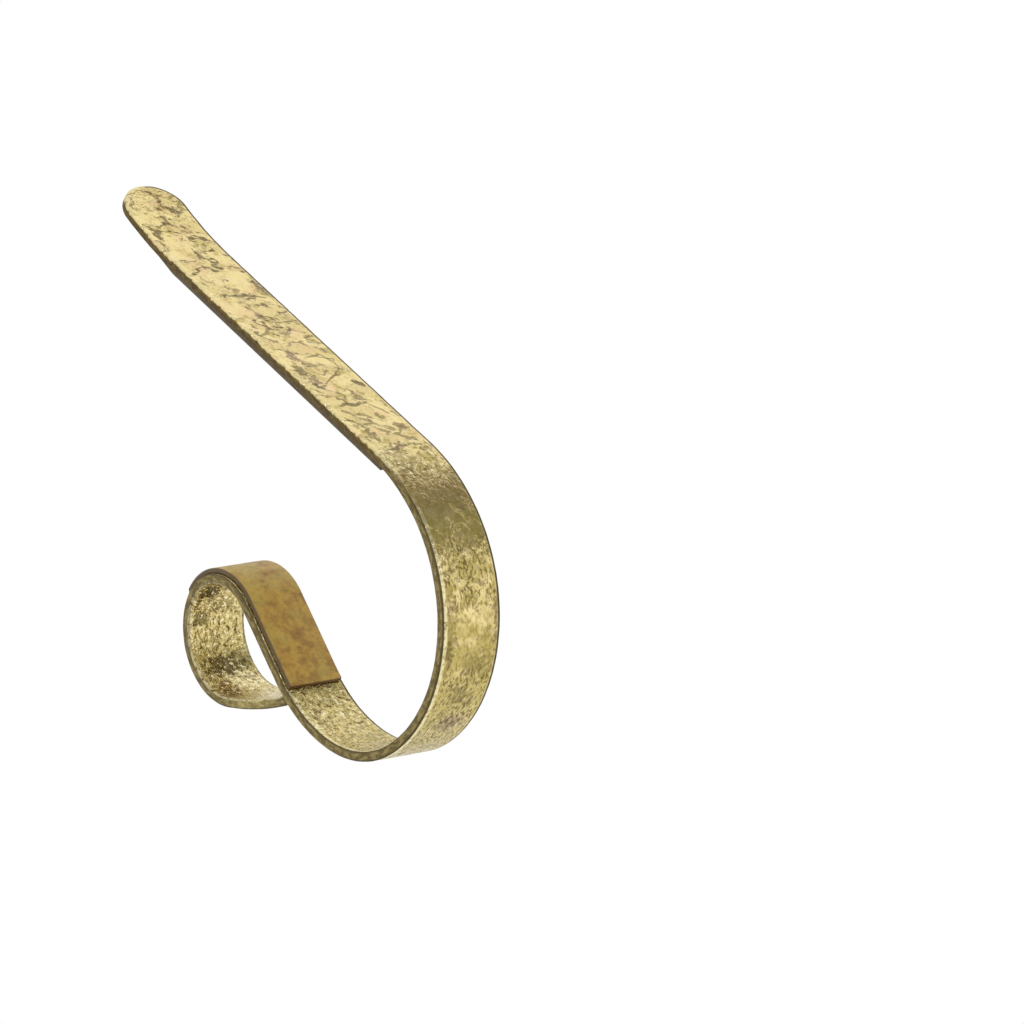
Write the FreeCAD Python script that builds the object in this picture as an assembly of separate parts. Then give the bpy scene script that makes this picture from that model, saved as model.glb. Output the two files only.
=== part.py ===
import FreeCAD, Part
import math
import os

# A mantel stocking holder: one flat metal strip bent in a plane, with a thin
# non-slip pad under its arm and another over its scroll. All sizes in mm.
# X is the strip's width, Y points to the wall and Z is up. The arm pad's
# underside, which lies on the mantel, is at Z = 0 with its middle at Y = 0.

# Flat strip stock
strip_width = 15.9
strip_thickness = 2.3
edge_rounding = 0.55

# Arm that lies on the mantel, with its tip turned up
arm_length = 78.4
tip_length = 27.5
tip_rise_angle = 10.6

# Front bend and cup, given at the middle of the strip's thickness
shoulder_radius = 40.4
shoulder_angle = 27.9
front_radius = 34.8
front_angle = 98.0
cup_front_radius = 28.6
cup_front_angle = 42.4
cup_back_radius = 34.5
cup_back_angle = 37.4

# Rise to the scroll, and the scroll that turns the other way
rise_length = 19.4
scroll_top_radius = 12.1
scroll_top_angle = 119.3
scroll_back_radius = 14.5
scroll_back_angle = 114.7
scroll_floor_radius = 87.5
scroll_end_gap = 0.15

# Non-slip pads, narrower than the strip by the inset on each side
pad_thickness = 1.2
pad_inset = 0.8
arm_pad_length = 81.0
arm_pad_lead = 10.0
arm_pad_lead_end = 0.15
scroll_pad_length = 45.5
scroll_pad_lead = 3.4


class Run:
    """One stretch of the strip's middle line, straight or an arc."""

    def __init__(self, y, z, heading, length, turn):
        self.y = y
        self.z = z
        self.heading = heading
        self.length = length
        self.turn = turn

    def at(self, distance, side=0.0):
        """Point in the YZ plane at a distance along, offset to the left."""
        bearing = self.heading
        y = self.y
        z = self.z
        if self.turn == 0.0:
            y += distance * math.cos(bearing)
            z += distance * math.sin(bearing)
        else:
            radius = self.length / self.turn
            bearing += distance / radius
            y += radius * (math.sin(bearing) - math.sin(self.heading))
            z -= radius * (math.cos(bearing) - math.cos(self.heading))
        y -= side * math.sin(bearing)
        z += side * math.cos(bearing)
        return FreeCAD.Vector(0, y, z)

    def edge(self, start, stop, side):
        """Edge between two distances along, offset to the left."""
        first = self.at(start, side)
        last = self.at(stop, side)
        if self.turn == 0.0:
            return Part.LineSegment(first, last).toShape()
        middle = self.at((start + stop) / 2, side)
        return Part.Arc(first, middle, last).toShape()


def arc_run(radius, angle):
    turn = math.radians(angle)
    return (abs(radius * turn), turn)


def strip_runs():
    """Runs of the middle line from the tip to the scroll's end."""
    tip_turn = math.radians(tip_rise_angle)
    tip_bend = tip_length - strip_width / 2
    shapes = [
        (tip_bend, -tip_turn),
        (arm_length, 0.0),
        arc_run(shoulder_radius, shoulder_angle),
        arc_run(front_radius, front_angle),
        arc_run(cup_front_radius, cup_front_angle),
        arc_run(cup_back_radius, cup_back_angle),
        (rise_length, 0.0),
        arc_run(scroll_top_radius, -scroll_top_angle),
        arc_run(scroll_back_radius, -scroll_back_angle),
    ]
    # The arm starts over the pad's end nearest the wall and heads along -Y
    arm = Run(arm_pad_length / 2, pad_thickness + strip_thickness / 2, math.pi, 1.0, 0.0)
    back = Run(arm.y, arm.z, 0.0, tip_bend, tip_turn)
    tip = back.at(tip_bend)
    runs = []
    y = tip.y
    z = tip.z
    heading = math.pi + tip_turn
    for length, turn in shapes:
        run = Run(y, z, heading, length, turn)
        runs.append(run)
        end = run.at(length)
        y = end.y
        z = end.z
        heading += turn
    return runs, Run(y, z, heading, scroll_floor_radius, -1.0)


def reach(floor, side, rise_side):
    """Distance along the scroll's floor at which it meets the strip."""
    step = scroll_end_gap
    along = step
    while along < floor.length and gap_at(floor, along, side, rise_side) > scroll_end_gap:
        along += step
    low = along - step
    high = along
    for _ in range(30):
        along = (low + high) / 2
        if gap_at(floor, along, side, rise_side) > scroll_end_gap:
            low = along
        else:
            high = along
    return low


def gap_at(floor, along, side, rise_side):
    point = Part.Vertex(floor.at(along, side))
    return rise_side.distToShape(point)[0]


def side_edges(runs, start, stop, side):
    """Edges along the runs between two distances from the tip."""
    edges = []
    travelled = 0.0
    for run in runs:
        first = max(start - travelled, 0.0)
        last = min(stop - travelled, run.length)
        if last - first > 1e-6:
            edges.append(run.edge(first, last, side))
        travelled += run.length
    return edges


def end_of(edges):
    return edges[-1].valueAt(edges[-1].LastParameter)


def start_of(edges):
    return edges[0].valueAt(edges[0].FirstParameter)


def band(left, right, width):
    """Solid between two chains of edges, centred on X = 0."""
    close_end = Part.LineSegment(end_of(left), end_of(right)).toShape()
    close_start = Part.LineSegment(start_of(right), start_of(left)).toShape()
    wire = Part.Wire(Part.sortEdges(left + right + [close_end, close_start])[0])
    face = Part.Face(wire)
    face.translate(FreeCAD.Vector(-width / 2, 0, 0))
    return face.extrude(FreeCAD.Vector(width, 0, 0))


def section(station):
    """Corner points of the strip's cross-section, square to a run's start."""
    origin = station.at(0.0)
    across = FreeCAD.Vector(1, 0, 0)
    out = FreeCAD.Vector(0, -math.sin(station.heading), math.cos(station.heading))
    half_width = strip_width / 2
    half = strip_thickness / 2
    bulge = edge_rounding * (1 - math.sqrt(0.5))

    def corner(sign_x, sign_n):
        """Line end, arc middle and line start round one corner."""
        flat = origin + across * (sign_x * (half_width - edge_rounding)) + out * (sign_n * half)
        round_x = half_width - bulge
        middle = origin + across * (sign_x * round_x) + out * (sign_n * (half - bulge))
        side = origin + across * (sign_x * half_width) + out * (sign_n * (half - edge_rounding))
        return flat, middle, side

    return origin, out, half, corner


def full_section(station):
    """Wire of the whole rounded section."""
    _, _, _, corner = section(station)
    edges = []
    flats = []
    sides = []
    for sign_x, sign_n in [(1, 1), (1, -1), (-1, -1), (-1, 1)]:
        flat, middle, side = corner(sign_x, sign_n)
        edges.append(Part.Arc(flat, middle, side).toShape())
        flats.append(flat)
        sides.append(side)
    edges.append(Part.LineSegment(sides[0], sides[1]).toShape())
    edges.append(Part.LineSegment(flats[1], flats[2]).toShape())
    edges.append(Part.LineSegment(sides[2], sides[3]).toShape())
    edges.append(Part.LineSegment(flats[3], flats[0]).toShape())
    return Part.Wire(Part.sortEdges(edges)[0])


def half_section(station):
    """Face of the half of the section on the +X side of its middle."""
    origin, out, half, corner = section(station)
    top = origin + out * half
    bottom = origin - out * half
    flat_a, middle_a, side_a = corner(1, 1)
    flat_b, middle_b, side_b = corner(1, -1)
    edges = [
        Part.LineSegment(top, flat_a).toShape(),
        Part.Arc(flat_a, middle_a, side_a).toShape(),
        Part.LineSegment(side_a, side_b).toShape(),
        Part.Arc(side_b, middle_b, flat_b).toShape(),
        Part.LineSegment(flat_b, bottom).toShape(),
        Part.LineSegment(bottom, top).toShape(),
    ]
    return Part.Face(Part.Wire(edges)), origin, out


def sweep(path_edges, station):
    """Solid of the rounded section drawn along a chain of edges."""
    pipe = Part.BRepOffsetAPI.MakePipeShell(Part.Wire(path_edges))
    pipe.setBiNormalMode(FreeCAD.Vector(1, 0, 0))
    pipe.add(full_section(station), False, False)
    pipe.build()
    pipe.makeSolid()
    return pipe.shape()


def half_round_tip(station):
    """The arm's flat end, round in plan, turned about the strip's normal."""
    face, origin, out = half_section(station)
    return face.revolve(origin, out, -180)


def scroll_end(runs, floor):
    """The scroll's floor, cut off just clear of the strip's rise."""
    half = strip_thickness / 2
    rise_side = Part.Wire([run.edge(0, run.length, -half) for run in runs[3:7]])
    far = max(reach(floor, half, rise_side), reach(floor, -half, rise_side))
    past = far + strip_thickness / 4
    floor_solid = sweep([floor.edge(0, past, 0.0)], floor)
    clear = [run.edge(0, run.length, -half - scroll_end_gap) for run in runs[3:7]]
    middle = [run.edge(0, run.length, 0.0) for run in runs[3:7]]
    return floor_solid.cut(band(clear, middle, 2 * strip_width))


def make_strip(runs, floor):
    body = sum(run.length for run in runs)
    strip = sweep(side_edges(runs, 0, body, 0.0), runs[0])
    return strip.fuse([half_round_tip(runs[0]), scroll_end(runs, floor)])


def make_pad(runs, start, length):
    half = strip_thickness / 2
    inner = side_edges(runs, start, start + length, half)
    outer = side_edges(runs, start, start + length, half + pad_thickness)
    return band(inner, outer, strip_width - 2 * pad_inset)


def arm_pad_wedge(runs):
    """Lead of the arm's pad, which thins out under the tip's bend."""
    half = strip_thickness / 2
    tip = runs[0]
    start = tip.length - arm_pad_lead
    thin = tip.at(start, half + arm_pad_lead_end)
    thick = tip.at(tip.length, half + pad_thickness)
    outer = Part.LineSegment(thin, thick).toShape()
    return band([tip.edge(start, tip.length, half)], [outer], strip_width - 2 * pad_inset)


def arm_pad(runs):
    """Pad under the arm, its underside pressed flat past the arm's bend."""
    pad = make_pad(runs, runs[0].length, arm_pad_length).fuse(arm_pad_wedge(runs))
    shelf = Part.makeBox(2 * strip_width, 2 * arm_pad_length, 10.0)
    shelf.translate(FreeCAD.Vector(-strip_width, -arm_pad_length, -10.0))
    return pad.cut(shelf)


def scroll_pad(runs):
    rise_start = sum(run.length for run in runs[:6])
    return make_pad(runs, rise_start - scroll_pad_lead, scroll_pad_length)


os.makedirs("parts", exist_ok=True)
strip_line, scroll_floor = strip_runs()
make_strip(strip_line, scroll_floor).exportStep("parts/hook_strip.step")
arm_pad(strip_line).exportStep("parts/arm_pad.step")
scroll_pad(strip_line).exportStep("parts/scroll_pad.step")
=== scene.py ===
"""Looks of a mantel stocking holder bent from one strip of gold-leafed metal.

The strip is modelled straight, crinkled like leaf, and bent along the same
runs as the part. Two thin non-slip pads are softened at their edges. All
lengths are in metres, in the part's own frame: X is the strip's width, +Y
points to the wall and +Z is up.
"""

import logging
import math
from collections.abc import Callable
from dataclasses import dataclass, field
from enum import Enum
from functools import cached_property
from itertools import accumulate

import bpy
from mathutils import Matrix, Vector

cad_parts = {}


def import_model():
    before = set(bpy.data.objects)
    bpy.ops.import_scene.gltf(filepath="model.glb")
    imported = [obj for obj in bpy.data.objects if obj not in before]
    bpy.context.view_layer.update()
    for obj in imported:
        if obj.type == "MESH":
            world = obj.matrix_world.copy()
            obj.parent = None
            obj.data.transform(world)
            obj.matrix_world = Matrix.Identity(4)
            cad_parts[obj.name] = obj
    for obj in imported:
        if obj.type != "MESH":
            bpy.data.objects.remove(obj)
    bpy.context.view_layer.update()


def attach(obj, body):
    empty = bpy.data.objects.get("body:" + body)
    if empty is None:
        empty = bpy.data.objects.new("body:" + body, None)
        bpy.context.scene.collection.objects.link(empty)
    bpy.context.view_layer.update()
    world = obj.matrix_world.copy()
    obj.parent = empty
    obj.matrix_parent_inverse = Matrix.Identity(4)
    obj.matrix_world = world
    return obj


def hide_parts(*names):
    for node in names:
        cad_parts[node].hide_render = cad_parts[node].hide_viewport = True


LOG = logging.getLogger("stocking_holder")
MM = 0.001
PART_BODY = "root"

Colour = tuple[float, float, float, float]
Triple = tuple[float, float, float]
WHITE: Colour = (1.0, 1.0, 1.0, 1.0)


class Node(Enum):
    """Names of the part's nodes."""

    STRIP = "hook_strip"
    ARM_PAD = "arm_pad"
    SCROLL_PAD = "scroll_pad"


class Slot(Enum):
    """Names of the record's material slots."""

    LEAF = "gold_leaf"
    PAD = "pad"


class Bend(Enum):
    """Names of the strip's runs after its tip."""

    ARM = "arm"
    SHOULDER = "shoulder"
    FRONT = "front"
    CUP_FRONT = "cup_front"
    CUP_BACK = "cup_back"
    RISE = "rise"
    SCROLL_TOP = "scroll_top"
    SCROLL_BACK = "scroll_back"
    SCROLL_FLOOR = "scroll_floor"


class Element(Enum):
    """Kinds of mesh element: the mesh's own list of them, and the select mode."""

    EDGES = ("edges", "EDGE")
    FACES = ("polygons", "FACE")


def tint(red: int, green: int, blue: int) -> Colour:
    """Turn a colour in 0-255 display steps into the linear one shaders use.

    Args:
        red: Display red.
        green: Display green.
        blue: Display blue.

    Returns:
        The linear colour with full alpha.
    """

    def linear(step: int) -> float:
        """Linear light of one display step."""
        part = step / 255
        return part / 12.92 if part <= 0.04045 else ((part + 0.055) / 1.055) ** 2.4

    return (linear(red), linear(green), linear(blue), 1.0)


class Wire:
    """A shader socket that takes part in sums and products."""

    def __init__(self, sheet: "Sheet", socket: bpy.types.NodeSocket) -> None:
        """Keep the sheet of nodes and the output socket.

        Args:
            sheet: The node sheet the socket is on.
            socket: An output socket.
        """
        self.sheet = sheet
        self.socket = socket

    def _with(self, operation: str, first: "Wire | float", second: "Wire | float") -> "Wire":
        """One Math node on two values."""
        return self.sheet.add("ShaderNodeMath", {"operation": operation}, {0: first, 1: second})

    def __add__(self, other: "Wire | float") -> "Wire":
        """Sum."""
        return self._with("ADD", self, other)

    def __radd__(self, other: "Wire | float") -> "Wire":
        """Sum with the value first."""
        return self._with("ADD", other, self)

    def __sub__(self, other: "Wire | float") -> "Wire":
        """Difference."""
        return self._with("SUBTRACT", self, other)

    def __rsub__(self, other: "Wire | float") -> "Wire":
        """Difference with the value first."""
        return self._with("SUBTRACT", other, self)

    def __mul__(self, other: "Wire | float") -> "Wire":
        """Product."""
        return self._with("MULTIPLY", self, other)

    def __rmul__(self, other: "Wire | float") -> "Wire":
        """Product with the value first."""
        return self._with("MULTIPLY", other, self)

    def __abs__(self) -> "Wire":
        """Size without sign."""
        return self._with("ABSOLUTE", self, 0.0)

    def most(self, other: "Wire | float") -> "Wire":
        """The larger of two values."""
        return self._with("MAXIMUM", self, other)

    def least(self, other: "Wire | float") -> "Wire":
        """The smaller of two values."""
        return self._with("MINIMUM", self, other)

    def beside(self, output: str) -> "Wire":
        """Another output of the same node."""
        return Wire(self.sheet, self.socket.node.outputs[output])


class Sheet:
    """The node sheet of one material or of the world."""

    def __init__(self, tree: bpy.types.NodeTree) -> None:
        """Start with an empty sheet.

        Args:
            tree: The node tree to fill.
        """
        self.tree = tree
        tree.nodes.clear()

    def add(
        self,
        kind: str,
        settings: dict | None = None,
        inputs: dict | None = None,
        output: str | int = 0,
    ) -> Wire:
        """Make one node, set it up and feed its sockets.

        Args:
            kind: The node's type name.
            settings: Properties by name, set first.
            inputs: Values or wires by socket name or number.
            output: Which output the returned wire is.

        Returns:
            A wire from the chosen output, or from nothing on an end node.
        """
        node = self.tree.nodes.new(kind)
        for name, value in (settings or {}).items():
            setattr(node, name, value)
        for key, value in (inputs or {}).items():
            if isinstance(value, Wire):
                self.tree.links.new(value.socket, node.inputs[key])
            else:
                node.inputs[key].default_value = value
        return Wire(self, node.outputs[output] if len(node.outputs) else None)

    def noise(self, where: Wire, size: float, detail: float = 2.0, rough: float = 0.5) -> Wire:
        """Cloudy noise around 0.5.

        Args:
            where: Coordinates.
            size: About the size of the lumps.
            detail: How many finer layers are added.
            rough: How strong the finer layers are.

        Returns:
            The noise.
        """
        values = {"Vector": where, "Scale": 1 / size, "Detail": detail, "Roughness": rough}
        return self.add("ShaderNodeTexNoise", {"noise_dimensions": "3D"}, values, "Fac")

    def cells(self, where: Wire, size: float) -> Wire:
        """Distance to the nearest wall of cells of a size, in parts of that size."""
        values = {"Vector": where, "Scale": 1 / size}
        return self.add("ShaderNodeTexVoronoi", {"feature": "DISTANCE_TO_EDGE"}, values, "Distance")

    def rise(self, value: Wire, low: float, high: float) -> Wire:
        """Smooth step that falls if low is the larger limit.

        Args:
            value: What is compared with the limits.
            low: Limit at which the step is 0.
            high: Limit at which the step is 1.

        Returns:
            The step, between 0 and 1.
        """
        settings = {"interpolation_type": "SMOOTHSTEP", "clamp": True}
        start, end, first, last = (low, high, 0.0, 1.0) if low < high else (high, low, 1.0, 0.0)
        values = {"Value": value, "From Min": start, "From Max": end, "To Min": first, "To Max": last}
        return self.add("ShaderNodeMapRange", settings, values, "Result")

    def blend(self, part: Wire, first: Wire | Colour, second: Wire | Colour) -> Wire:
        """Colour that goes from the first to the second as part goes to 1."""
        # This node's colour sockets share their names with others, so they go by number
        values = {0: part, 6: first, 7: second}
        return self.add("ShaderNodeMix", {"data_type": "RGBA"}, values, 2)

    def vector(self, operation: str, first: Wire, second: Wire | Triple, output: str = "Vector") -> Wire:
        """One Vector Math node on two vectors."""
        return self.add("ShaderNodeVectorMath", {"operation": operation}, {0: first, 1: second}, output)

    def stretch(self, where: Wire, scale: Triple) -> Wire:
        """Coordinates stretched along their axes."""
        return self.vector("MULTIPLY", where, scale)

    def turn(self, where: Wire, degrees: float, scale: Triple) -> Wire:
        """Coordinates turned in the strip's face, then stretched.

        Args:
            where: Coordinates on the straight strip.
            degrees: Angle from along to across.
            scale: Factor on each axis.

        Returns:
            The new coordinates.
        """
        values = {"Vector": where, "Rotation": (0.0, math.radians(degrees), 0.0)}
        turned = self.add("ShaderNodeMapping", None, values, "Vector")
        return self.stretch(turned, scale)

    def dot(self, first: Wire, second: Vector | Triple) -> Wire:
        """Dot product of a vector wire and a fixed vector."""
        return self.vector("DOT_PRODUCT", first, second, "Value")

    def length(self, first: Wire) -> Wire:
        """Length of a vector wire."""
        return self.add("ShaderNodeVectorMath", {"operation": "LENGTH"}, {0: first}, "Value")

    def warp(self, where: Wire, size: float, amount: float) -> Wire:
        """Coordinates pushed about by noise.

        Args:
            where: Coordinates.
            size: About the size of the noise's lumps.
            amount: How far the noise pushes from end to end.

        Returns:
            The new coordinates.
        """
        values = {"Vector": where, "Scale": 1 / size, "Detail": 2.0}
        swirl = self.add("ShaderNodeTexNoise", None, values, "Color")
        centred = self.vector("SUBTRACT", swirl, (0.5, 0.5, 0.5))
        return self.vector("ADD", where, self.stretch(centred, (amount, amount, amount)))

    def surface(self, values: dict, height: Wire, strength: float, depth: float) -> None:
        """End the sheet with a Principled shader under a bump.

        Args:
            values: Values or wires of the shader by socket name.
            height: Height of the bump, in parts of its depth.
            strength: Strength of the bump.
            depth: Depth of the bump.
        """
        bumps = {"Height": height, "Strength": strength, "Distance": depth}
        normal = self.add("ShaderNodeBump", None, bumps)
        shine = self.add("ShaderNodeBsdfPrincipled", None, {**values, "Normal": normal})
        self.add("ShaderNodeOutputMaterial", None, {"Surface": shine})


def new_paint(name: str) -> tuple[bpy.types.Material, Sheet]:
    """A new material and its empty node sheet."""
    paint = bpy.data.materials.new(name)
    paint.use_nodes = True
    return paint, Sheet(paint.node_tree)


@dataclass(frozen=True)
class Stretch:
    """A stretch of the strip: its middle, and how far off its look ends and is full."""

    middle: float
    ends: float
    full: float


@dataclass(frozen=True)
class LeafPatch:
    """A patch on the leaf's upper face, in millimetres and degrees; most are toned patches and folds, a
    few are painted shade and highlight.

    Places are on the straight strip: along it from the tip, and across it from
    its middle. The turn is from along to across.
    """

    along: float
    across: float
    length: float
    width: float
    tone: Colour
    strength: float = 0.85
    turn: float = 0.0


OLIVE_BROWN = tint(92, 76, 36)
TAUPE = tint(150, 124, 98)
RUSSET = tint(150, 102, 50)
CREAM_HIGHLIGHT = tint(255, 240, 186)


@dataclass(frozen=True)
class LeafSizes:
    """Sizes of the leaf's patterns: the width of what repeats, and how far it reaches."""

    swirl: float = 3.0 * MM
    swirl_reach: float = 1.3 * MM
    cluster: float = 6.5 * MM
    fold: float = 4.6 * MM
    fold_gap: float = 2.4 * MM
    stroke: float = 2.0 * MM
    stroke_gap: float = 1.8 * MM
    streak: float = 0.52 * MM
    lump: float = 1.15 * MM
    hue: float = 5.0 * MM
    dull: float = 2.6 * MM
    brown: float = 2.0 * MM
    wear: float = 1.1 * MM
    bead: float = 1.3 * MM
    bead_reach: float = 0.9 * MM
    side_patch: float = 1.6 * MM
    stain_swirl: float = 5.0 * MM
    stain_swirl_reach: float = 3.2 * MM
    stain_border: float = 1.2 * MM
    facet: float = 2.2 * MM
    small_facet: float = 1.0 * MM
    ripple: float = 1.1 * MM
    fine_ripple: float = 0.60 * MM
    bump_depth: float = 0.30 * MM


@dataclass(frozen=True)
class GoldLeaf:
    """Crinkled antique gold leaf: pale flats, olive creases, toned edges, with painted glints,
    highlights and shade.
    """

    strip_width: float
    edge: float
    thickness: float
    arm_end: float
    cup_start: float
    sizes: LeafSizes = LeafSizes()
    slant: float = 52.0
    drawn_out: Triple = (0.50, 1.0, 1.0)
    lip: tuple[float, float] = (-0.50 * MM, -0.95 * MM)
    ragged_width: float = 0.9 * MM
    side_grain: Triple = (0.7, 1.8, 1.0)
    quiet_start: float = 56 * MM
    crumpled: Stretch = Stretch(110 * MM, 9 * MM, 3 * MM)
    # stretch of the front bend where its dark reflection is painted in
    shadow: Stretch = Stretch(119 * MM, 9 * MM, 3 * MM)
    calm: Stretch = Stretch(125 * MM, 9 * MM, 4 * MM)
    calm_below: Stretch = Stretch(152 * MM, 9 * MM, 4 * MM)
    rubbed: Stretch = Stretch(312 * MM, 11 * MM, 4 * MM)
    flat: Colour = tint(243, 222, 156)
    warm: Colour = tint(236, 203, 150)
    olive: Colour = tint(188, 170, 92)
    crease: Colour = tint(96, 76, 38)
    # umber blotches by the folds, also the painted dark reflection on the front bend
    umber_and_painted_shade: Colour = tint(162, 134, 98)
    side: Colour = tint(70, 50, 4)
    side_worn: Colour = tint(106, 85, 22)
    side_past_arm: Colour = tint(150, 135, 82)
    # painted shade on the sides' rounded corners
    side_rubbed: Colour = tint(188, 172, 106)
    outline: Colour = tint(56, 44, 20)
    # rubbed gold, also the painted glints and edge highlights
    wear_and_highlight: Colour = tint(255, 244, 196)
    stains_and_painted_light: tuple[LeafPatch, ...] = (
        LeafPatch(9.2, 3.3, 1.7, 0.6, OLIVE_BROWN, 0.75, 45),
        LeafPatch(17.6, -5.9, 1.4, 0.8, OLIVE_BROWN, 0.8),
        LeafPatch(43.4, 0.0, 6.0, 0.5, OLIVE_BROWN, 0.7, 77),
        LeafPatch(42.0, 6.8, 4.5, 1.2, OLIVE_BROWN, 0.45),
        LeafPatch(51.9, -1.2, 1.3, 1.0, TAUPE, 0.7),
        LeafPatch(54.8, 3.2, 3.2, 0.4, OLIVE_BROWN, 0.65, 87),
        LeafPatch(58.3, -4.0, 2.2, 0.35, OLIVE_BROWN, 0.6, 120),
        LeafPatch(59.4, 0.8, 1.7, 0.7, TAUPE, 0.7, 63),
        LeafPatch(67.6, -3.5, 2.2, 1.1, TAUPE),
        LeafPatch(68.7, 1.2, 2.2, 0.34, OLIVE_BROWN, 0.6, 107),
        LeafPatch(70.2, 4.1, 2.4, 0.34, OLIVE_BROWN, 0.55, 23),
        LeafPatch(73.9, 4.4, 1.9, 0.30, OLIVE_BROWN, 0.55, -14),
        LeafPatch(78.2, 0.4, 4.2, 0.34, OLIVE_BROWN, 0.75, -50),
        LeafPatch(73.4, -5.4, 1.6, 1.2, OLIVE_BROWN, 0.7),
        LeafPatch(78.2, -4.4, 2.2, 1.2, TAUPE),
        LeafPatch(79.7, -5.2, 2.0, 0.6, OLIVE_BROWN, 0.8, 24),
        LeafPatch(81.0, 5.3, 2.1, 0.7, OLIVE_BROWN, 0.75, 22),
        LeafPatch(88.3, -1.5, 3.6, 0.6, OLIVE_BROWN, 0.75, 92),
        LeafPatch(91.3, 3.8, 3.3, 0.4, OLIVE_BROWN, 0.6, 35),
        LeafPatch(94.2, -6.0, 3.0, 0.4, OLIVE_BROWN, 0.65, 29),
        LeafPatch(99.9, -4.3, 2.6, 1.2, OLIVE_BROWN, 0.65),
        LeafPatch(106.0, -2.1, 4.0, 0.45, OLIVE_BROWN, 0.65, 100),
        LeafPatch(110.5, -3.4, 4.2, 3.4, OLIVE_BROWN, 0.40),
        LeafPatch(147.5, 7.2, 5.5, 1.1, OLIVE_BROWN, 0.6),
        # painted shade near the front's near edge
        LeafPatch(151.0, -6.4, 9.0, 1.8, OLIVE_BROWN, 0.30),
        LeafPatch(154.5, -5.8, 2.4, 1.4, OLIVE_BROWN, 0.55),
        LeafPatch(158.5, 3.2, 3.0, 4.0, OLIVE_BROWN, 0.35),
        LeafPatch(165.5, -0.6, 2.8, 2.6, OLIVE_BROWN, 0.45),
        LeafPatch(174.0, 1.5, 2.6, 3.2, TAUPE, 0.55),
        # painted shade at the top of the curl
        LeafPatch(268.5, -4.5, 2.6, 3.4, OLIVE_BROWN, 0.95),
        LeafPatch(276.5, -4.6, 2.2, 2.4, OLIVE_BROWN, 0.65),
        LeafPatch(274.0, 1.5, 2.0, 2.2, OLIVE_BROWN, 0.5),
        # painted highlight inside the curl
        LeafPatch(294.5, 2.6, 3.6, 4.2, CREAM_HIGHLIGHT, 0.75),
        LeafPatch(289.2, -0.5, 2.6, 5.6, OLIVE_BROWN, 0.78),
        LeafPatch(298.0, -4.6, 5.0, 2.6, RUSSET, 0.65),
    )

    def material(self) -> bpy.types.Material:
        """Build the leaf's material on the strip's own straight coordinates.

        Returns:
            The material.
        """
        paint, sheet = new_paint("gold_leaf")
        layers = LeafLayers(self, sheet)
        deep, flank = layers.deep, layers.flank
        values = {
            "Base Color": sheet.blend(flank * 0.96, layers.face(), layers.side()),
            "Metallic": (1.0 - 0.35 * deep) * (1.0 - 0.85 * flank),
            "Roughness": 0.20 + 0.22 * deep + 0.10 * layers.dull + 0.28 * flank,
            "Specular IOR Level": 0.22,
        }
        sheet.surface(values, layers.height(), 0.8, self.sizes.bump_depth)
        return paint


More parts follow.
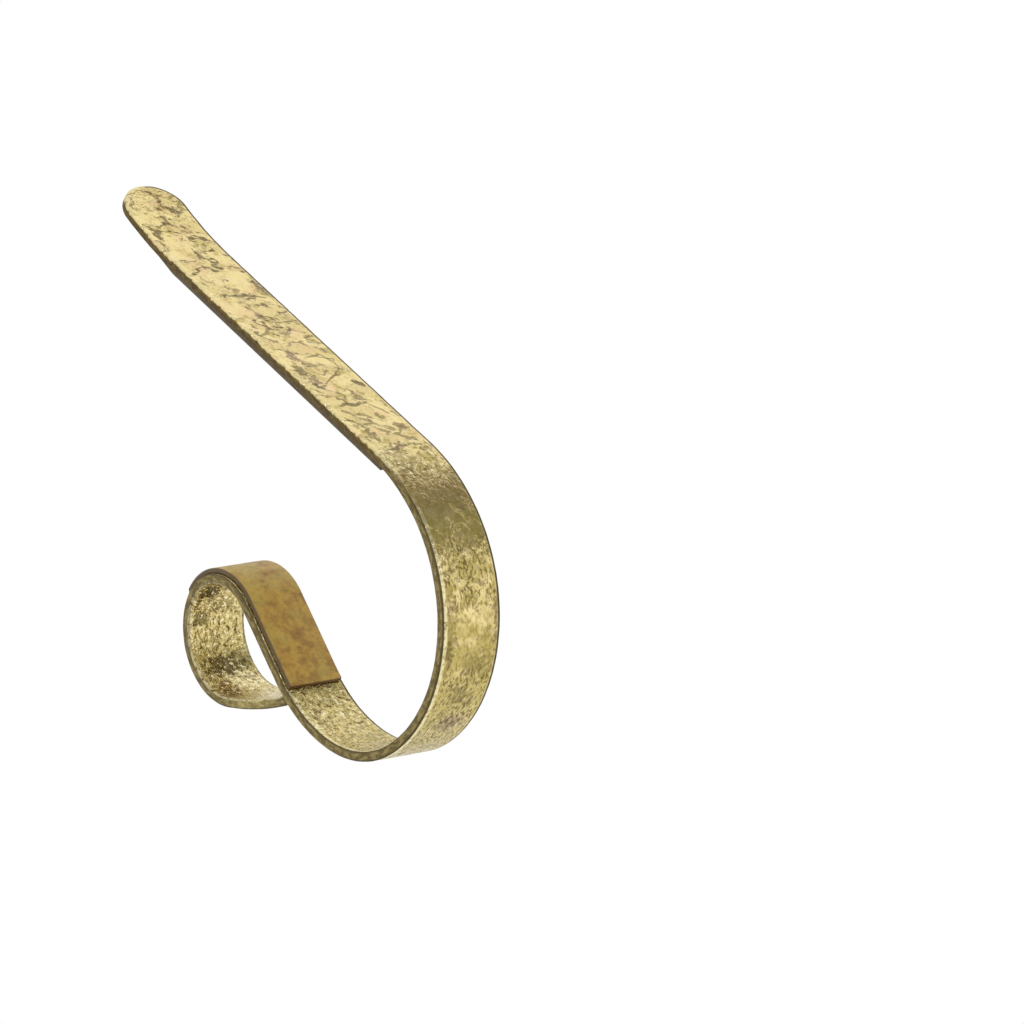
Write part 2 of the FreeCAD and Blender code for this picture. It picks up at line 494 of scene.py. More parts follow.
class LeafLayers:
    """The leaf's layers on one node sheet, by the place on the straight strip."""

    def __init__(self, leaf: GoldLeaf, sheet: Sheet) -> None:
        """Keep the leaf and the sheet, and lay out the coordinates.

        Args:
            leaf: The leaf's sizes and colours.
            sheet: The empty node sheet of its material.
        """
        self.leaf = leaf
        self.sizes = leaf.sizes
        self.sheet = sheet
        self.straight = sheet.add(
            "ShaderNodeAttribute", {"attribute_name": "straight"}, None, "Vector"
        )
        self.along = sheet.add("ShaderNodeSeparateXYZ", None, {0: self.straight}, "X")
        self.thick = self.along.beside("Y")
        self.across = self.along.beside("Z")
        self.bent = sheet.warp(self.straight, self.sizes.swirl, self.sizes.swirl_reach)
        self.slanted = sheet.turn(self.bent, leaf.slant, leaf.drawn_out)
        self.streaked = sheet.stretch(self.bent, leaf.drawn_out)

    def _near(self, stretch: Stretch) -> Wire:
        """1 in a stretch of the strip, 0 beyond its ends."""
        return self.sheet.rise(abs(self.along - stretch.middle), stretch.ends, stretch.full)

    def _to_side(self, start: float, end: float) -> Wire:
        """Rise towards the side, between distances from it in parts of the edge."""
        half, edge = self.leaf.strip_width / 2, self.leaf.edge
        return self.sheet.rise(self.out, half - start * edge, half - end * edge)

    @cached_property
    def past_arm(self) -> Wire:
        """0 on the arm, 1 past the shoulder."""
        end = self.leaf.arm_end
        return self.sheet.rise(self.along, end - 4 * MM, end + 16 * MM)

    @cached_property
    def tossed(self) -> Wire:
        """1 in the cup and the scroll, where the leaf is in lumps."""
        start = self.leaf.cup_start
        return self.sheet.rise(self.along, start - 6 * MM, start + 8 * MM)

    @cached_property
    def rough(self) -> Wire:
        """How lumpy the leaf is: most where it is tossed, less where it is crumpled."""
        return self.tossed.most(self._near(self.leaf.crumpled) * 0.65)

    @cached_property
    def calm(self) -> Wire:
        """1 in the two smooth stretches of the front."""
        return self._near(self.leaf.calm).most(self._near(self.leaf.calm_below))

    @cached_property
    def quiet(self) -> Wire:
        """How much fainter the creases are past the arm's first half."""
        start = self.leaf.quiet_start
        return 0.40 * self.sheet.rise(self.along, start, start + 10 * MM)

    @cached_property
    def shadow(self) -> Wire:
        """1 where the dark reflection on the front bend is painted into the colour."""
        return self._near(self.leaf.shadow)

    @cached_property
    def out(self) -> Wire:
        """Distance from the strip's middle, or from the centre of its round tip."""
        before = (self.along - self.leaf.strip_width / 2).least(0.0)
        values = {"X": before, "Z": self.across}
        return self.sheet.length(self.sheet.add("ShaderNodeCombineXYZ", None, values, "Vector"))

    @cached_property
    def rim(self) -> Wire:
        """1 along the face's borders."""
        return self._to_side(2.6, 1.9)

    @cached_property
    def far_half(self) -> Wire:
        """1 on the half of the strip that lies away from the camera."""
        return self.sheet.rise(self.across, 0.0, 2 * MM)

    @cached_property
    def far(self) -> Wire:
        """1 on the painted shade line along the far side's rounded corner."""
        return self.far_half * self._to_side(1.7, 1.15)

    @cached_property
    def flank(self) -> Wire:
        """1 on the sides, less the lip of gold that laps over them on the arm, and on the painted shade
        line along the far side.
        """
        sheet, sizes = self.sheet, self.sizes
        beads = (sheet.noise(self.straight, sizes.bead, 1.0) - 0.5) * sizes.bead_reach
        lip = sheet.rise(self.thick + beads, *self.leaf.lip)
        lip = lip * (0.9 - 0.9 * self.past_arm)
        return (self._to_side(0.88, 0.50) * (1 - lip)).most(self.far)

    @cached_property
    def cluster(self) -> Wire:
        """1 in the patches that are creased more."""
        return self.sheet.rise(self.sheet.noise(self.straight, self.sizes.cluster, 1.0), 0.42, 0.60)

    @cached_property
    def swell(self) -> Wire:
        """Slanting swells of the leaf, with a fold halfway up each."""
        return self.sheet.noise(self.slanted, self.sizes.fold, 3.0, 0.55)

    @cached_property
    def from_fold(self) -> Wire:
        """Height on a swell above or below its fold."""
        return abs(self.swell - 0.5)

    @cached_property
    def folds(self) -> Wire:
        """1 on the dark, broken folds between the smooth islands of leaf."""
        sheet = self.sheet
        gate = sheet.rise(sheet.noise(self.straight, self.sizes.fold_gap, 2.0), 0.45, 0.56)
        return sheet.rise(self.from_fold, 0.040, 0.014) * gate

    @cached_property
    def island(self) -> Wire:
        """1 on the smooth islands between the folds."""
        return self.sheet.rise(self.swell, 0.488, 0.512)

    @cached_property
    def strokes(self) -> Wire:
        """1 on the short dark strokes."""
        sheet, sizes = self.sheet, self.sizes
        broken = sheet.rise(sheet.noise(self.bent, sizes.stroke_gap, 1.0), 0.52, 0.64)
        lines = abs(sheet.noise(self.slanted, sizes.stroke, 2.0, 0.6) - 0.52)
        strokes = sheet.rise(lines, 0.040, 0.012) * broken * (0.10 + 0.68 * self.cluster)
        return strokes * (1 - 0.5 * self.past_arm - self.quiet)

    @cached_property
    def streaks(self) -> Wire:
        """Fine streaks along the strip."""
        return self.sheet.noise(self.streaked, self.sizes.streak, 1.5, 0.5)

    @cached_property
    def lumps(self) -> Wire:
        """Lumps of the tossed leaf."""
        return self.sheet.noise(self.bent, self.sizes.lump, 2.0, 0.55)

    @cached_property
    def wear(self) -> Wire:
        """1 where a corner is rubbed and its painted highlight shows."""
        return self.sheet.rise(self.sheet.noise(self.straight, self.sizes.wear, 2.0), 0.36, 0.50)

    @cached_property
    def deep(self) -> Wire:
        """1 in the dark creases: folds, strokes, grit and pits, fainter at the rim."""
        sheet = self.sheet
        grit = sheet.rise(self.streaks, 0.50, 0.64) * (1 - 0.6 * self.calm)
        grit = grit * (0.06 + 0.16 * self.cluster + 0.54 * self.past_arm - 0.30 * self.tossed)
        pits = sheet.rise(self.lumps, 0.42, 0.34) * self.rough
        folds = self.folds * (0.80 - 0.35 * self.past_arm - 0.5 * self.quiet)
        deep = folds.most(self.strokes).most(grit).most(pits * 0.93)
        return deep * (1 - 0.7 * self.rim)

    @cached_property
    def dull(self) -> Wire:
        """1 in the dull olive patches, which grow past the arm and, as painted shade, down the lower
        front.
        """
        sheet, start = self.sheet, self.leaf.calm_below.middle
        # painted shade: duller further down the front
        lower = sheet.rise(self.along, start - 4 * MM, start + 10 * MM)
        duller = 0.16 * self.past_arm + 0.16 * lower
        dull = sheet.rise(sheet.noise(self.bent, self.sizes.dull, 3.0) + duller, 0.50, 0.74)
        return dull * (1 - 0.40 * self.tossed)

    def face(self) -> Wire:
        """Colour of the faces: drifting gold, stained patches, creases, painted glints and rubbed rims
        with a painted highlight.

        Returns:
            The colour.
        """
        leaf, sheet, sizes = self.leaf, self.sheet, self.sizes
        hue = sheet.noise(self.straight, sizes.hue, 2.0) - 0.06 * self.past_arm
        skin = sheet.blend(sheet.rise(hue, 0.48, 0.64) * 0.6, leaf.flat, leaf.warm)
        skin = sheet.blend((self.dull * 0.85).most(self.island * 0.25), skin, leaf.olive)
        brown = sheet.rise(sheet.noise(self.bent, sizes.brown, 3.0, 0.6), 0.57, 0.66)
        brown = brown * sheet.rise(self.from_fold, 0.12, 0.05)
        skin = sheet.blend(brown * 0.65, skin, leaf.umber_and_painted_shade)
        # painted dark reflection across the front bend
        skin = sheet.blend(self.shadow * 0.45, skin, leaf.umber_and_painted_shade)
        skin = self._patched(skin)
        skin = sheet.blend(self.deep, skin, leaf.crease)
        # painted glints: cream specks past the arm and on the lumps' tops stand in for highlights
        streaks = sheet.rise(self.streaks, 0.46, 0.34) * self.past_arm * 0.30 * (1 - 0.6 * self.calm)
        lumps = sheet.rise(self.lumps, 0.56, 0.63) * (0.12 + 0.80 * self.rough)
        skin = sheet.blend(streaks.most(lumps), skin, leaf.wear_and_highlight)
        # rubbed rims with a painted highlight, kept to the near half and faded in the painted dark
        # reflection
        wear_and_highlight = self.rim * self.wear * (0.25 + 0.50 * self.past_arm)
        wear_and_highlight = wear_and_highlight * (1 - 0.8 * self.far_half) * (1 - 0.7 * self.shadow)
        return sheet.blend(wear_and_highlight, skin, leaf.wear_and_highlight)

    def _patched(self, skin: Wire) -> Wire:
        """Add the patches, the wide ones with ragged borders, to the upper face: toned ones, and painted
        shade and highlight.

        Args:
            skin: Colour below the stains.

        Returns:
            The stained colour.
        """
        sheet, sizes = self.sheet, self.sizes
        place = sheet.warp(self.straight, sizes.stain_swirl, sizes.stain_swirl_reach)
        depth = sheet.add("ShaderNodeSeparateXYZ", None, {0: place}, "Y")
        upper = sheet.rise(depth, 0.2 * MM, -0.2 * MM)
        ragged = (sheet.noise(place, sizes.stain_border, 3.0, 0.65) - 0.5) * 4.0
        for leaf_patch in self.leaf.stains_and_painted_light:
            away = sheet.vector("SUBTRACT", place, (leaf_patch.along * MM, 0.0, leaf_patch.across * MM))
            scale = (1 / (leaf_patch.length * MM), 0.0, 1 / (leaf_patch.width * MM))
            radius = sheet.length(sheet.turn(away, leaf_patch.turn, scale))
            share = min(1.0, leaf_patch.width * MM / self.leaf.ragged_width)
            inside = sheet.rise(radius + ragged * share, 1.25, 0.75)
            skin = sheet.blend(inside * upper * leaf_patch.strength, skin, leaf_patch.tone)
        return skin

    def side(self) -> Wire:
        """Colour of the matt toned sides, with painted shade on their rounded corners and a painted
        highlight, with wear, on the upper corner in the cup and scroll.

        Returns:
            The colour.
        """
        leaf, sheet = self.leaf, self.sheet
        grain = sheet.stretch(self.bent, leaf.side_grain)
        patch = sheet.rise(sheet.noise(grain, self.sizes.side_patch, 3.0, 0.6), 0.44, 0.62)
        skin = sheet.blend(patch * 0.8, leaf.side, leaf.side_worn)
        skin = sheet.blend(self.past_arm * (0.25 + 0.65 * patch), skin, leaf.side_past_arm)
        rubbed = self._near(leaf.rubbed) * (0.35 + 0.5 * patch)
        skin = sheet.blend(rubbed, skin, leaf.side_rubbed)
        half = leaf.thickness / 2
        lower_corner = sheet.rise(self.thick, half - 0.6 * MM, half - 0.1 * MM)
        upper_corner = sheet.rise(self.thick, 0.6 * MM - half, 0.2 * MM - half)
        corner = (lower_corner * 0.85).most(upper_corner * (0.8 - 0.6 * self.tossed))
        # painted shade darkens the sides' rounded corners and the far side's line
        skin = sheet.blend(corner.most(self.far * 0.5), skin, leaf.outline)
        # painted highlight, with wear, along the sides' upper corner in the cup and scroll
        return sheet.blend(upper_corner * self.tossed * self.wear * 0.45, skin, leaf.wear_and_highlight)

    def height(self) -> Wire:
        """Height of the leaf's small relief: facets, ripples, lumps and folds.

        Returns:
            The height, in parts of the bump's depth.
        """
        sheet, sizes = self.sheet, self.sizes
        facets = sheet.cells(self.bent, sizes.facet) + 0.45 * sheet.cells(self.bent, sizes.small_facet)
        facets = facets * (0.25 + 0.6 * self.cluster + 0.5 * self.rough)
        ripples = sheet.noise(self.slanted, sizes.ripple, 2.0, 0.5)
        relief = facets + ripples * (0.15 + 0.6 * self.cluster)
        relief = relief + self.lumps * self.rough * 0.8
        fine_ripples = sheet.noise(self.streaked, sizes.fine_ripple, 1.0)
        relief = relief + fine_ripples * (0.05 + 0.55 * self.past_arm)
        return relief * (1 - 0.5 * self.calm) + self.island * 0.25 - self.folds * 0.30


@dataclass(frozen=True)
class PadSkin:
    """Smooth rubbery pad in a mottled brown gold, with painted shade on its ends and sides."""

    half_width: float
    rim_start: float = 0.35 * MM
    rim_full: float = 0.1 * MM
    mottle_size: float = 2.6 * MM
    moss_size: float = 6.0 * MM
    fleck_size: float = 0.9 * MM
    dimple_size: float = 0.8 * MM
    swell_size: float = 3.0 * MM
    bump_depth: float = 0.15 * MM
    base: Colour = tint(184, 148, 66)
    shade: Colour = tint(144, 108, 50)
    moss: Colour = tint(176, 154, 74)
    # darker mottle flecks, also the painted shade along the pads' sides
    flank: Colour = tint(70, 55, 28)
    # painted shade of the pads' front end faces
    painted_end_shade: Colour = tint(86, 48, 20)
    front_end: Triple = (0.0, -0.90, -0.43)

    def material(self) -> bpy.types.Material:
        """Build the pads' material on Object coordinates.

        Returns:
            The material.
        """
        paint, sheet = new_paint("pad")
        where = sheet.add("ShaderNodeTexCoord", None, None, "Object")
        mottle = sheet.rise(sheet.noise(where, self.mottle_size, 4.0, 0.62), 0.34, 0.70)
        moss = sheet.rise(sheet.noise(where, self.moss_size, 2.0), 0.48, 0.64)
        fleck = sheet.rise(sheet.noise(where, self.fleck_size, 3.0, 0.6), 0.50, 0.70)
        skin = sheet.blend(mottle, self.base, self.shade)
        skin = sheet.blend(moss * 0.6, skin, self.moss)
        skin = sheet.blend(fleck * 0.28, skin, self.flank)
        across = abs(sheet.add("ShaderNodeSeparateXYZ", None, {0: where}, "X"))
        # painted shade along the pads' sides
        rim = sheet.rise(across, self.half_width - self.rim_start, self.half_width - self.rim_full)
        skin = sheet.blend(rim * 0.9, skin, self.flank)
        # painted shade on faces that turn to the pads' front ends
        facing = sheet.add("ShaderNodeNewGeometry", None, None, "True Normal")
        shaded_end = sheet.rise(sheet.dot(facing, self.front_end), 0.35, 0.85)
        skin = sheet.blend(shaded_end * 0.9, skin, self.painted_end_shade)
        height = sheet.noise(where, self.dimple_size, 3.0, 0.6)
        height = height + 1.5 * sheet.noise(where, self.swell_size, 1.0)
        values = {"Base Color": skin, "Roughness": 0.42 + 0.16 * mottle}
        sheet.surface(values, height, 0.35, self.bump_depth)
        return paint


@dataclass(frozen=True)
class Run:
    """One stretch of the strip's middle line: its length, and its turn in radians."""

    length: float
    turn: float = 0.0

    @classmethod
    def arc(cls, radius: float, degrees: float) -> "Run":
        """Arc of a radius that turns left by an angle, right if negative.

        Args:
            radius: Radius of the middle line.
            degrees: Angle turned through.

        Returns:
            The run.
        """
        turn = math.radians(degrees)
        return cls(abs(radius * turn), turn)


@dataclass
class Strip:
    """The bent strip, with the part's own sizes at its middle line."""

    width: float = 15.9 * MM
    thickness: float = 2.3 * MM
    edge: float = 0.55 * MM
    pad_thickness: float = 1.2 * MM
    pad_inset: float = 0.8 * MM
    arm_pad_length: float = 81.0 * MM
    tip_rise: float = 10.6
    tip_bend: float = 19.55 * MM
    scroll_end_gap: float = 0.15 * MM
    cell: float = 0.42 * MM
    edge_segments: int = 5
    side_cuts: int = 2
    tip_steps: int = 36
    tolerance: float = 0.01 * MM
    crinkle_depth: float = 0.10 * MM
    crinkle_size: float = 3.2 * MM
    crinkle_detail: int = 3
    crinkle_level: float = 0.75
    smooth_angle: float = 40.0
    bends: dict[Bend, Run] = field(
        default_factory=lambda: {
            Bend.ARM: Run(78.4 * MM),
            Bend.SHOULDER: Run.arc(40.4 * MM, 27.9),
            Bend.FRONT: Run.arc(34.8 * MM, 98.0),
            Bend.CUP_FRONT: Run.arc(28.6 * MM, 42.4),
            Bend.CUP_BACK: Run.arc(34.5 * MM, 37.4),
            Bend.RISE: Run(19.4 * MM),
            Bend.SCROLL_TOP: Run.arc(12.1 * MM, -119.3),
            Bend.SCROLL_BACK: Run.arc(14.5 * MM, -114.7),
            Bend.SCROLL_FLOOR: Run.arc(87.5 * MM, -20.0),
        }
    )

    def end_of(self, bend: Bend) -> float:
        """Distance along the strip from the tip's apex to the end of a run.

        Args:
            bend: The run.

        Returns:
            The distance.
        """
        names = list(self.bends)
        passed = names[: names.index(bend) + 1]
        return self.width / 2 + self.tip_bend + sum(self.bends[name].length for name in passed)

    def path(self) -> list[Vector]:
        """Points of the middle line from the tip's apex on, in the YZ plane.

        Returns:
            The points, at most half a cell apart.
        """
        rise = math.radians(self.tip_rise)
        radius = self.tip_bend / rise
        lead = Run(self.width / 2)
        tip = Run.arc(radius, -self.tip_rise)
        back = Vector((0, self.arm_pad_length / 2, self.pad_thickness + self.thickness / 2))
        start = back + Vector((0, radius * math.sin(rise), radius * (1 - math.cos(rise))))
        heading = math.pi + rise
        points = [start - lead.length * ahead(heading)]
        for run in [lead, tip, *self.bends.values()]:
            steps = math.ceil(run.length / (self.cell / 2))
            step = run.length / steps
            for _ in range(steps):
                heading += run.turn / steps / 2
                points.append(points[-1] + ahead(heading) * step)
                heading += run.turn / steps / 2
        return points

    def build(self) -> bpy.types.Object:
        """Model the strip straight, crinkle it, bend it and cut its end.

        Returns:
            The strip.
        """
        path = self.path()
        strip = self._section()
        self._draw_out(strip, distances(path)[-1] - self.width / 2)
        self._round_tip(strip)
        self._mark_straight(strip)
        self._crinkle(strip)
        self._bend(strip, path)
        self._cut_scroll(strip, path)
        return strip

    def _section(self) -> bpy.types.Object:
        """Rounded outline of the strip's section, square to X at the tip.

        Returns:
            The outline as a loop of edges, each about a cell long.
        """
        deselect()
        bpy.ops.mesh.primitive_plane_add(
            size=1, location=(self.width / 2, 0, 0), rotation=(0, math.pi / 2, 0)
        )
        strip = bpy.context.object
        strip.name = "leafed_strip"
        strip.scale = (self.width, self.thickness, 1)
        bpy.ops.object.transform_apply(location=True, rotation=True, scale=True)
        bpy.ops.object.mode_set(mode="EDIT")
        bpy.ops.mesh.bevel(
            affect="VERTICES", offset=self.edge, segments=self.edge_segments, profile=0.5
        )
        bpy.ops.mesh.delete(type="ONLY_FACE")
        small, wide = 1.5 * self.cell, 4 * self.cell
        pick(strip, Element.EDGES, lambda e: edge_length(strip, e) > wide)
        bpy.ops.mesh.subdivide(number_cuts=2 * round(self.width / self.cell / 2) - 1)
        pick(strip, Element.EDGES, lambda e: small < edge_length(strip, e) < wide)
        bpy.ops.mesh.subdivide(number_cuts=self.side_cuts)
        bpy.ops.object.mode_set(mode="OBJECT")
        return strip

    def _draw_out(self, strip: bpy.types.Object, length: float) -> None:
        """Draw the section out along X in short, even steps.

        Args:
            strip: The section.
            length: How far it is drawn out.
        """
        screw = strip.modifiers.new("draw", "SCREW")
        screw.axis = "X"
        screw.angle = 0.0
        screw.screw_offset = length
        screw.steps = screw.render_steps = round(length / self.cell)
        screw.use_merge_vertices = False
        apply(strip, screw)

    def _round_tip(self, strip: bpy.types.Object) -> None:
        """Turn half of the first section into the tip's half-round end.

        Args:
            strip: The drawn-out strip.
        """
        start, tiny = self.width / 2, self.tolerance

        def turned(edge: bpy.types.MeshEdge) -> bool:
            """Whether an edge is in the half of the first section that turns."""
            places = [strip.data.vertices[v].co for v in edge.vertices]
            return all(abs(place.x - start) < tiny and place.z > -tiny for place in places)

        bpy.ops.object.mode_set(mode="EDIT")
        pick(strip, Element.EDGES, turned)
        bpy.ops.mesh.spin(
            steps=self.tip_steps,
            angle=math.pi,
            center=(start, 0, 0),
            axis=(0, 1, 0),
            use_auto_merge=False,
        )
        bpy.ops.mesh.select_all(action="SELECT")
        bpy.ops.mesh.remove_doubles(threshold=tiny)
        bpy.ops.mesh.normals_make_consistent(inside=False)
        bpy.ops.object.mode_set(mode="OBJECT")

    def _mark_straight(self, strip: bpy.types.Object) -> None:
        """Keep each point's place on the straight strip for the leaf.

        Args:
            strip: The straight strip.
        """
        mark = strip.data.attributes.new("straight", "FLOAT_VECTOR", "POINT")
        for vertex, item in zip(strip.data.vertices, mark.data):
            item.vector = vertex.co

    def _crinkle(self, strip: bpy.types.Object) -> None:
        """Raise the leaf's larger wrinkles as real relief.

        Args:
            strip: The straight strip.
        """
        swell = bpy.data.textures.new("leaf_swell", "CLOUDS")
        swell.noise_scale = self.crinkle_size
        swell.noise_depth = self.crinkle_detail
        move = strip.modifiers.new("crinkle", "DISPLACE")
        move.texture = swell
        move.texture_coords = "LOCAL"
        move.strength = self.crinkle_depth
        move.mid_level = self.crinkle_level
        apply(strip, move)

    def _bend(self, strip: bpy.types.Object, path: list[Vector]) -> None:
        """Bend the strip along its runs, then stand it in the part's frame.

        Args:
            strip: The straight strip.
            path: Points of its middle line.
        """
        line = bpy.data.curves.new("middle_line", "CURVE")
        line.dimensions = "2D"
        spline = line.splines.new("POLY")
        spline.points.add(len(path) - 1)
        for point, place in zip(spline.points, path):
            point.co = (place.y, place.z, 0, 1)
        guide = bpy.data.objects.new("middle_line", line)
        bpy.context.collection.objects.link(guide)
        bend = strip.modifiers.new("bend", "CURVE")
        bend.object = guide
        bend.deform_axis = "POS_X"
        apply(strip, bend)
        bpy.data.objects.remove(guide)
        bpy.data.curves.remove(line)
        stand = Matrix(((0, 0, 1, 0), (1, 0, 0, 0), (0, 1, 0, 0), (0, 0, 0, 1)))
        strip.data.transform(stand)

    def _cut_scroll(self, strip: bpy.types.Object, path: list[Vector]) -> None:
        """Cut the scroll's end off just clear of the rise and close it.

        Args:
            strip: The bent strip.
            path: Points of its middle line.
        """
        marks = distances(path)
        floor_start = marks[-1] - self.bends[Bend.SCROLL_FLOOR].length
        cup_back, rise_end = self.end_of(Bend.CUP_FRONT), self.end_of(Bend.RISE)
        floor = [p for p, mark in zip(path, marks) if mark > floor_start]
        rise = [i for i, mark in enumerate(marks) if cup_back < mark < rise_end]
        nearest = min(rise, key=lambda i: min((path[i] - p).length for p in floor))
        onward = (path[nearest + 1] - path[nearest]).normalized()
        out = Vector((0, onward.z, -onward.y))
        place = path[nearest] + out * (self.thickness / 2 + self.scroll_end_gap)
        along = [item.vector.x for item in strip.data.attributes["straight"].data]
        bpy.ops.object.mode_set(mode="EDIT")
        pick(strip, Element.FACES, lambda p: all(along[v] > floor_start for v in p.vertices))
        bpy.ops.mesh.bisect(plane_co=place, plane_no=-out, use_fill=True, clear_outer=True)
        bpy.ops.object.mode_set(mode="OBJECT")
        bpy.ops.object.shade_smooth_by_angle(angle=math.radians(self.smooth_angle))


@dataclass
class Pad:
    """A thin pad taken from the part's node, its edges softened."""

    node: Node
    softening: float = 0.35 * MM
    segments: int = 3
    sharp_angle: float = 40.0
    smooth_angle: float = 50.0
    tolerance: float = 0.001 * MM

    def build(self) -> bpy.types.Object:
        """Copy the node's mesh, join its loose faces and round its edges.

        Returns:
            The pad.
        """
        source = bpy.data.objects[self.node.value]
        pad = bpy.data.objects.new(f"soft_{self.node.value}", source.data.copy())
        bpy.context.collection.objects.link(pad)
        pad.data.materials.clear()
        make_active(pad)
        bpy.ops.object.mode_set(mode="EDIT")
        bpy.ops.mesh.select_all(action="SELECT")
        bpy.ops.mesh.remove_doubles(threshold=self.tolerance)
        bpy.ops.object.mode_set(mode="OBJECT")
        soften = pad.modifiers.new("soften", "BEVEL")
        soften.width = self.softening
        soften.segments = self.segments
        soften.limit_method = "ANGLE"
        soften.angle_limit = math.radians(self.sharp_angle)
        apply(pad, soften)
        bpy.ops.object.shade_smooth_by_angle(angle=math.radians(self.smooth_angle))
        return pad


@dataclass
class Studio:
    """Plain pale floor, soft light and the camera."""

    floor_drop: float = 1.2
    floor_span: float = 16.0
    floor_tone: Colour = (0.8, 0.8, 0.8, 1)
    key_place: Triple = (-1.35, -0.25, 1.45)
    key_size: float = 0.8
    key_power: float = 15.0
    camera_place: Triple = (-0.7884, -0.8459, 0.6211)
    camera_right: Triple = (0.77118, -0.57918, 0.26428)
    camera_up: Triple = (0.11885, 0.53881, 0.83400)
    camera_lens: float = 210.94
    camera_clip: tuple[float, float] = (0.05, 40.0)
    sensor: float = 36.0
    wall_light: Colour = WHITE
    panel_way: Triple = (0.53, -0.08, 0.84)
    panel_fade: tuple[float, float] = (0.85, 0.95)
    panel_light: Colour = (0.31, 0.31, 0.275, 1)
    room_fade: tuple[float, float] = (0.42, 0.74)
    room_light: Colour = (0.48, 0.47, 0.45, 1)

    def build(self) -> None:
        """Set up the floor, the lamp, the world and the camera."""
        scene = bpy.context.scene
        scene.view_settings.view_transform = "Standard"
        self._floor()
        self._world(scene)
        self._key_lamp()
        self._camera(scene)

    def _floor(self) -> None:
        """The pale floor far below the shelf's height."""
        deselect()
        bpy.ops.mesh.primitive_plane_add(size=self.floor_span, location=(0, 0, -self.floor_drop))
        floor = bpy.context.object
        floor.name = "floor"
        paint, sheet = new_paint("floor_white")
        seen = backdrop_ray(sheet)
        matt = sheet.add("ShaderNodeBsdfDiffuse", None, {"Color": self.floor_tone})
        white = sheet.add("ShaderNodeEmission", None, {"Color": WHITE, "Strength": 1.0})
        both = sheet.add("ShaderNodeMixShader", None, {0: seen, 1: matt, 2: white})
        sheet.add("ShaderNodeOutputMaterial", None, {"Surface": both})
        floor.data.materials.append(paint)

    def _world(self, scene: bpy.types.Scene) -> None:
        """Soft surroundings, white to the camera.

        Args:
            scene: The scene that gets the world.
        """
        world = bpy.data.worlds.new("studio")
        scene.world = world
        world.use_nodes = True
        sheet = Sheet(world.node_tree)
        way = sheet.add("ShaderNodeTexCoord", None, None, "Generated")
        panel = sheet.rise(sheet.dot(way, self.panel_way), *self.panel_fade)
        light = sheet.blend(panel, self.wall_light, self.panel_light)
        back = Vector(self.camera_right).cross(Vector(self.camera_up))
        room = sheet.rise(sheet.dot(way, back), *self.room_fade)
        light = sheet.blend(room, light, self.room_light)
        camera = sheet.add("ShaderNodeLightPath", None, None, "Is Camera Ray")
        light = sheet.blend(camera, light, WHITE)
        glow = sheet.add("ShaderNodeBackground", None, {"Color": light, "Strength": 1.0})
        sheet.add("ShaderNodeOutputWorld", None, {"Surface": glow})

    def _key_lamp(self) -> None:
        """A square soft lamp that faces the object."""
        light = bpy.data.lights.new("key", "AREA")
        light.size = self.key_size
        light.energy = self.key_power
        lamp = bpy.data.objects.new("key", light)
        place = Vector(self.key_place)
        lamp.location = place
        lamp.rotation_euler = (-place).to_track_quat("-Z", "Y").to_euler()
        bpy.context.collection.objects.link(lamp)

    def _camera(self, scene: bpy.types.Scene) -> None:
        """The camera at the photograph's viewing angle.

        Args:
            scene: The scene that gets the camera.
        """
        right, up = Vector(self.camera_right), Vector(self.camera_up)
        back = right.cross(up)
        data = bpy.data.cameras.new("camera")
        data.lens = self.camera_lens
        data.sensor_width = self.sensor
        data.clip_start, data.clip_end = self.camera_clip
        camera = bpy.data.objects.new("camera", data)
        turn = Matrix((right, up, back)).transposed().to_4x4()
        camera.matrix_world = Matrix.Translation(self.camera_place) @ turn
        bpy.context.collection.objects.link(camera)
        scene.camera = camera


def backdrop_ray(sheet: Sheet) -> Wire:
    """1 on rays that see the backdrop straight, by gloss or through glass."""
    path = sheet.add("ShaderNodeLightPath", None, None, "Is Camera Ray")
    return path.most(path.beside("Is Glossy Ray")).most(path.beside("Is Transmission Ray"))


def ahead(heading: float) -> Vector:
    """Direction in the YZ plane of a heading, from +Y to +Z."""
    return Vector((0, math.cos(heading), math.sin(heading)))


def distances(path: list[Vector]) -> list[float]:
    """Distance along a line of points to each of them."""
    steps = [(second - first).length for first, second in zip(path, path[1:])]
    return list(accumulate(steps, initial=0.0))


def deselect() -> None:
    """Leave nothing selected."""
    for item in bpy.context.selected_objects:
        item.select_set(False)


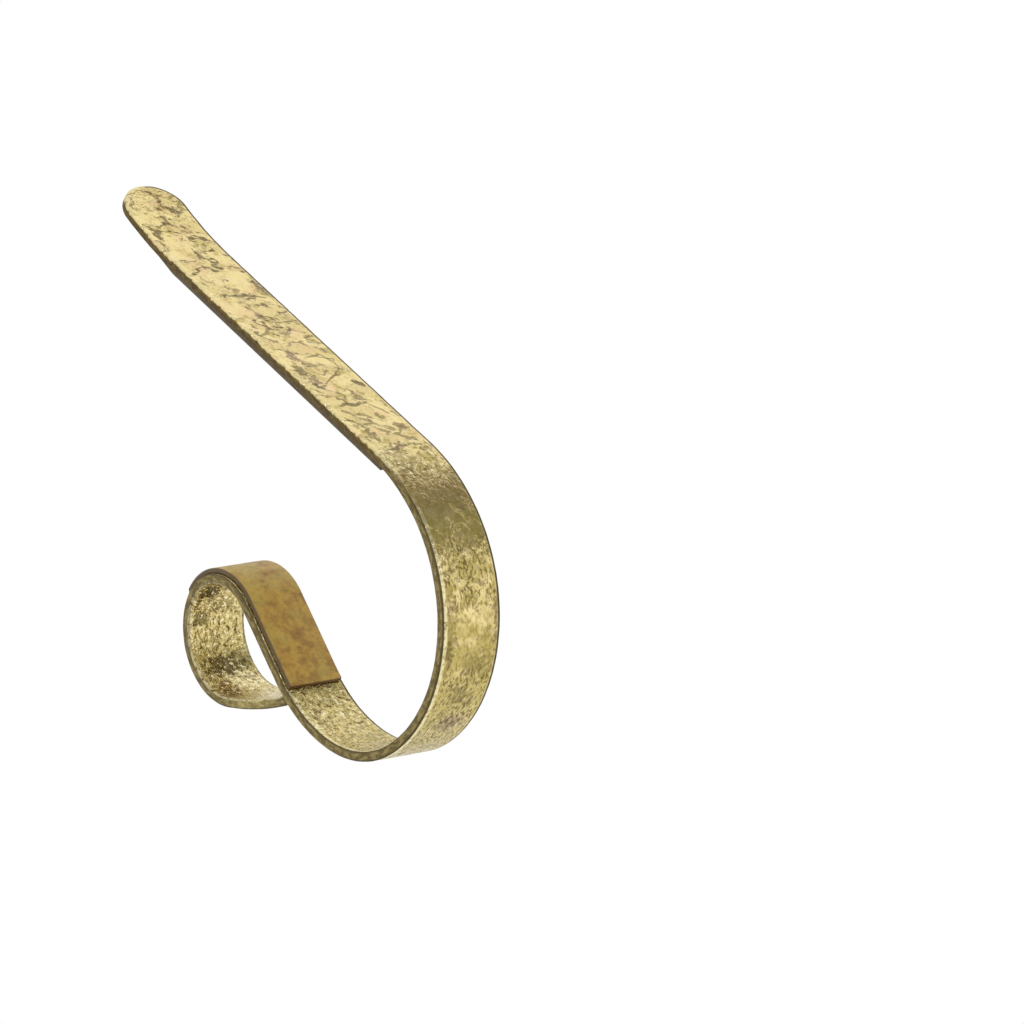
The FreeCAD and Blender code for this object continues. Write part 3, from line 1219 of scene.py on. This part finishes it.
def make_active(obj: bpy.types.Object) -> None:
    """Select one object only and make it the active one."""
    deselect()
    obj.select_set(True)
    bpy.context.view_layer.objects.active = obj


def pick(obj: bpy.types.Object, kind: Element, wanted: Callable[[bpy.types.bpy_struct], bool]) -> None:
    """Select only the wanted edges or faces in edit mode.

    Args:
        obj: The object in edit mode.
        kind: Kind of the mesh's elements.
        wanted: Test of one mesh element.
    """
    elements, mode = kind.value
    bpy.ops.mesh.select_mode(type=mode)
    bpy.ops.mesh.select_all(action="DESELECT")
    bpy.ops.object.mode_set(mode="OBJECT")
    for item in getattr(obj.data, elements):
        item.select = bool(wanted(item))
    bpy.ops.object.mode_set(mode="EDIT")


def edge_length(obj: bpy.types.Object, edge: bpy.types.MeshEdge) -> float:
    """Length of one edge of an object's mesh."""
    first, second = (obj.data.vertices[v].co for v in edge.vertices)
    return (first - second).length


def apply(obj: bpy.types.Object, modifier: bpy.types.Modifier) -> None:
    """Apply one modifier for good."""
    make_active(obj)
    bpy.ops.object.modifier_apply(modifier=modifier.name)


def dress(piece: bpy.types.Object, node: Node, paint: bpy.types.Material) -> None:
    """Give a piece its finish and its body, and hide the node it stands for.

    Args:
        piece: The visible piece.
        node: The part's node it stands for.
        paint: The finish.
    """
    piece.data.materials.append(paint)
    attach(piece, PART_BODY)
    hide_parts(node.value)
    faces = len(piece.data.polygons)
    LOG.info("%s stands for %s with %d faces", piece.name, node.value, faces)


def main() -> None:
    """Build and dress every piece, then the studio."""
    logging.basicConfig(level=logging.INFO, format="%(message)s")
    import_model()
    strip = Strip()
    leaf = GoldLeaf(
        strip_width=strip.width,
        edge=strip.edge,
        thickness=strip.thickness,
        arm_end=strip.end_of(Bend.ARM),
        cup_start=strip.end_of(Bend.CUP_FRONT),
    )
    dress(strip.build(), Node.STRIP, leaf.material())
    rubber = PadSkin(strip.width / 2 - strip.pad_inset).material()
    for node in (Node.ARM_PAD, Node.SCROLL_PAD):
        dress(Pad(node).build(), node, rubber)
    Studio().build()


if __name__ == "__main__":
    main()
